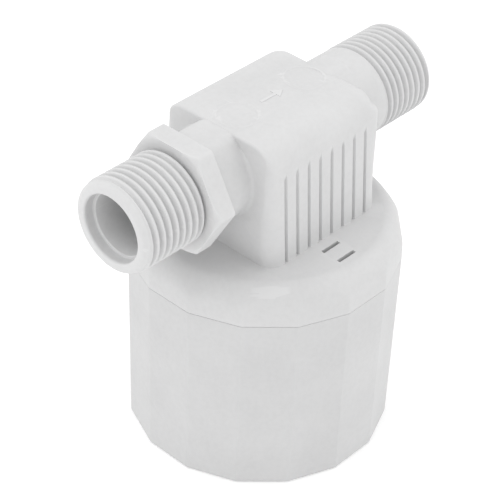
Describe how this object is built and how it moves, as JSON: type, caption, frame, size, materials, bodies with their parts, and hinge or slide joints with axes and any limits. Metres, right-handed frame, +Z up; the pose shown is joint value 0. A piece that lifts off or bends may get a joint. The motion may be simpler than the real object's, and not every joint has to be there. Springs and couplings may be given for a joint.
{
  "type": "float valve",
  "caption": "Straight-through plastic float valve: threaded pipe ends, ribbed block and a faceted float cup hanging below that shuts the water off when it fills.",
  "frame": {"origin": "centre of the flat underside of the float cup", "axes": "+Z up, out of the cup's base; +X along the pipe from the inlet to the outlet; +Y across the pipe, away from the side with the vent slots"},
  "size_m": [0.088, 0.0598, 0.0846],
  "materials": {
    "body_plastic": "satin moulded light grey-white plastic",
    "nipple_plastic": "satin moulded light grey-white plastic",
    "cap_plastic": "satin moulded light grey-white plastic",
    "cup_plastic": "satin moulded light grey-white plastic",
    "inner_plastic": "plain moulded grey plastic",
    "lever_plastic": "plain moulded natural plastic",
    "float_plastic": "smooth moulded natural plastic",
    "seal_rubber": "matt black rubber",
    "spring_steel": "drawn stainless wire",
    "screw_steel": "passivated stainless steel",
    "pin_brass": "turned brass"
  },
  "bodies": {
    "body": {"valve_body": "body_plastic", "inlet_nipple": "nipple_plastic", "nipple_oring": "seal_rubber", "pilot_bonnet": "inner_plastic", "pilot_nozzle": "pin_brass", "bonnet_oring": "seal_rubber", "piston_spring": "spring_steel", "cap": "cap_plastic", "cap_oring": "seal_rubber", "cap_screws": "screw_steel", "pivot_pin": "pin_brass"},
    "piston": {"piston": "inner_plastic", "piston_ring": "seal_rubber", "piston_washer": "seal_rubber", "washer_rivet": "screw_steel"},
    "lever": {"lever": "lever_plastic", "lever_pad": "seal_rubber", "link_pin": "pin_brass"},
    "float": {"float_shell": "float_plastic", "float_lid": "float_plastic", "float_stem": "lever_plastic"},
    "cup": {"cup": "cup_plastic"}
  },
  "joints": [
    {"name": "piston_slide", "type": "slide", "parent": "body", "child": "piston", "axis": [0, 0, -1], "range_m": [0, 0.002], "stiffness_N_per_m": 600, "springref_m": -0.001, "deforming": ["piston_spring"]},
    {"name": "float_slide", "type": "slide", "parent": "body", "child": "float", "axis": [0, 0, 1], "range_m": [0, 0.0038]},
    {"name": "lever_hinge", "type": "hinge", "parent": "body", "child": "lever", "pos_m": [0.0085, 0, 0.0482], "axis": [0, 1, 0], "range_deg": [0, 10]},
    {"name": "cup_slide", "type": "slide", "parent": "body", "child": "cup", "axis": [0, 0, -1], "range_m": [0, 0.06]}
  ],
  "couplings": [
    {"joint": "lever_hinge", "follows": "float_slide", "rad_per_m": 45.69}
  ]
}
